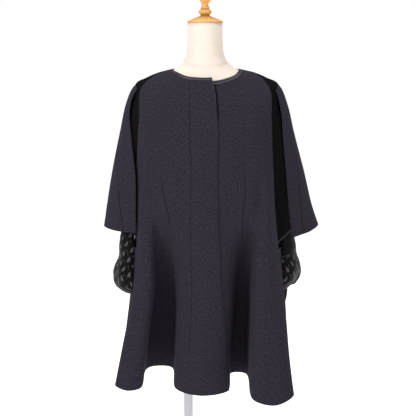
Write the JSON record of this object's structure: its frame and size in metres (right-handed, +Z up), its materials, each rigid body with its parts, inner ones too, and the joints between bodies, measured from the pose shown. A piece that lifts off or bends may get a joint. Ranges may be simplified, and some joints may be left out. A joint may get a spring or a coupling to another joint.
{
  "type": "wool cape coat on dress form",
  "caption": "Flared collarless wool cape coat with bound neck, hidden front closing, open cape sleeves over hanging inner sleeves and deep hem flutes, on a limbless dress form with a round base",
  "frame": {"origin": "centre of the round base's underside, on the floor under the pole", "axes": "+Z up, -Y towards the coat's front, +X towards the wearer's left, which is the viewer's right"},
  "size_m": [0.6153, 0.516, 1.5875],
  "materials": {
    "charcoal_wool": "felted charcoal wool with a blue-violet tinge, matt with a short nap",
    "black_cloth": "plain black cloth, matt",
    "lining": "black satin lining with small grey sprigs and dots",
    "black_leather": "smooth black leather binding with a soft sheen",
    "cream_jersey": "tight cream jersey over a smooth form",
    "turned_wood": "turned light wood, satin varnish",
    "light_metal": "light grey enamel, half gloss"
  },
  "bodies": {
    "root": {"form_torso": "cream_jersey", "neck_cap": "turned_wood", "base": "light_metal", "pole": "light_metal", "front_right": "charcoal_wool", "front_left": "charcoal_wool", "back": "charcoal_wool", "sleeve_left": "charcoal_wool", "sleeve_right": "charcoal_wool", "inset_left": "black_cloth", "inset_right": "black_cloth", "sleeve_lining_left": "lining", "sleeve_lining_right": "lining", "neck_binding": "black_leather"}
  },
  "joints": []
}
